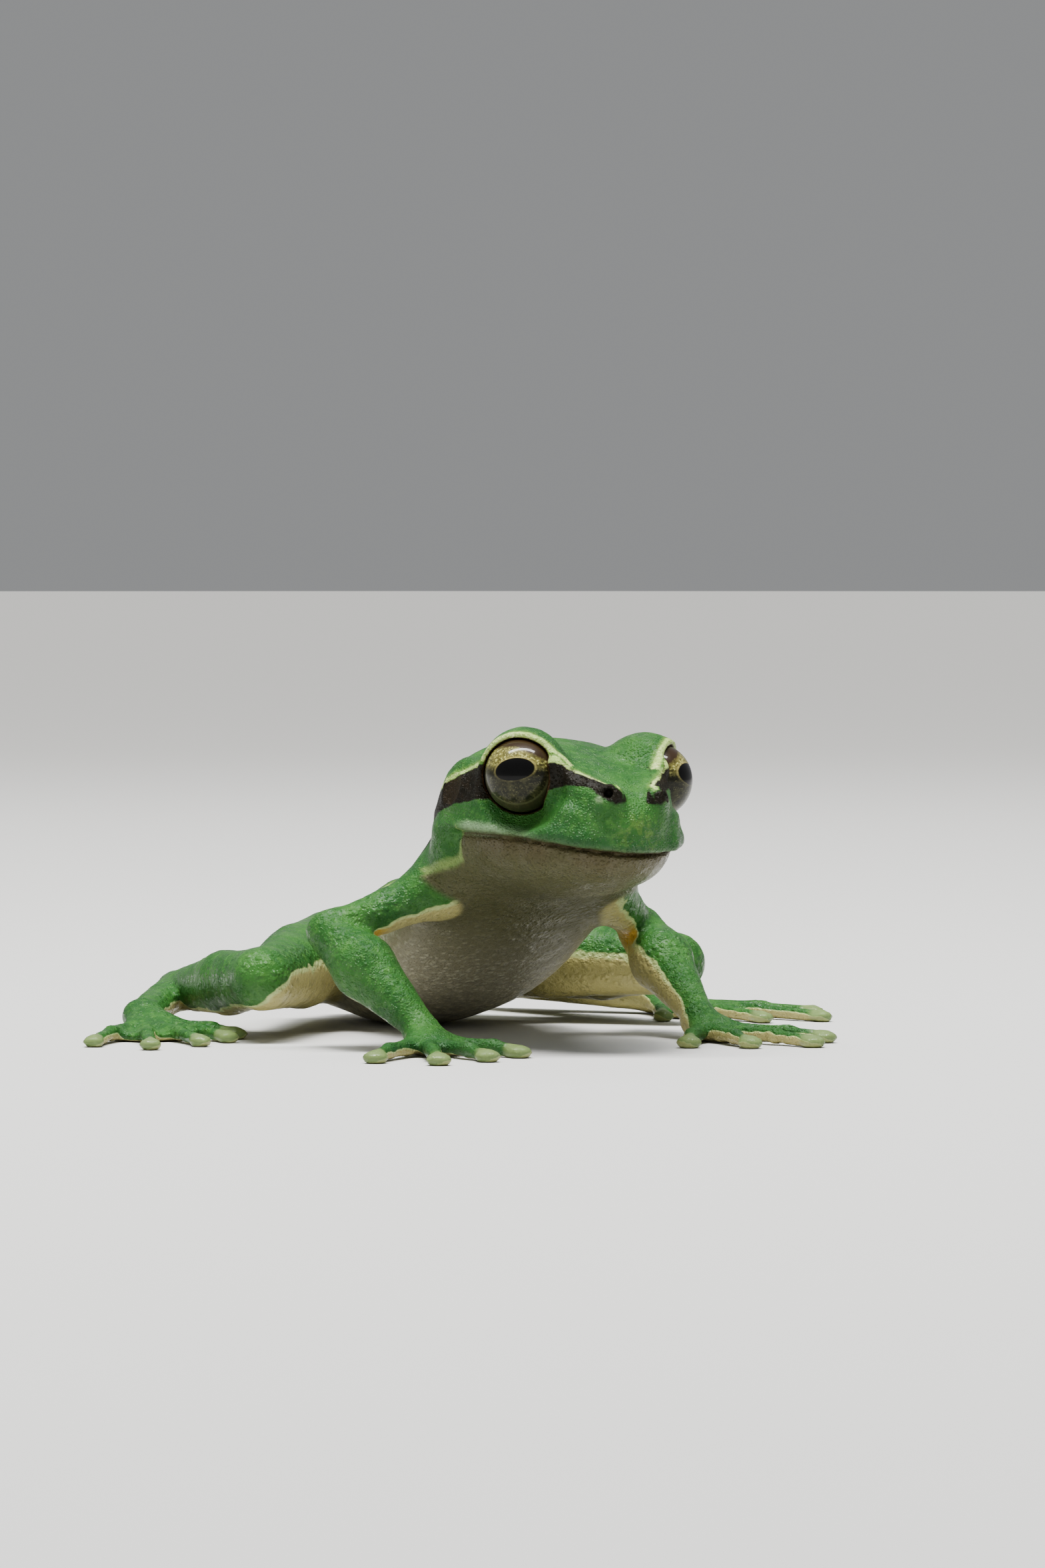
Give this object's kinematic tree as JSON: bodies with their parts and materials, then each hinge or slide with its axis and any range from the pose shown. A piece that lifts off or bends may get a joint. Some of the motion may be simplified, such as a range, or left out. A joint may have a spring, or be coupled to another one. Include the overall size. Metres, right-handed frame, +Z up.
{
  "type": "tree frog",
  "caption": "Life-size sitting green tree frog with dark flank stripe, raised head, spread fingers and folded hind legs, a still display model",
  "frame": {"origin": "Middle of the bounding box in X and Y, at floor level, between the hands and feet.", "axes": "+Z up, the frog faces -Y, its right side is -X. +X runs across the spread feet and is the longest extent, +Z is the shortest."},
  "size_m": [0.052, 0.0422, 0.0191],
  "materials": {
    "green_skin": "moist satin, finely granular",
    "throat_skin": "matt, granular, pale",
    "eye": "wet gloss"
  },
  "bodies": {
    "root": {"head": "green_skin", "lower_jaw": "throat_skin", "trunk": "green_skin", "eye_R": "eye", "eye_L": "eye", "upper_arm_R": "green_skin", "forearm_R": "green_skin", "hand_R": "green_skin", "finger_R1": "green_skin", "finger_R2": "green_skin", "finger_R3": "green_skin", "finger_R4": "green_skin", "thigh_R": "green_skin", "shank_R": "green_skin", "tarsus_R": "green_skin", "foot_R": "green_skin", "toe_R1": "green_skin", "toe_R2": "green_skin", "toe_R3": "green_skin", "toe_R4": "green_skin", "toe_R5": "green_skin", "upper_arm_L": "green_skin", "forearm_L": "green_skin", "hand_L": "green_skin", "finger_L1": "green_skin", "finger_L2": "green_skin", "finger_L3": "green_skin", "finger_L4": "green_skin", "thigh_L": "green_skin", "shank_L": "green_skin", "tarsus_L": "green_skin", "foot_L": "green_skin", "toe_L1": "green_skin", "toe_L2": "green_skin", "toe_L3": "green_skin", "toe_L4": "green_skin", "toe_L5": "green_skin"}
  },
  "joints": []
}
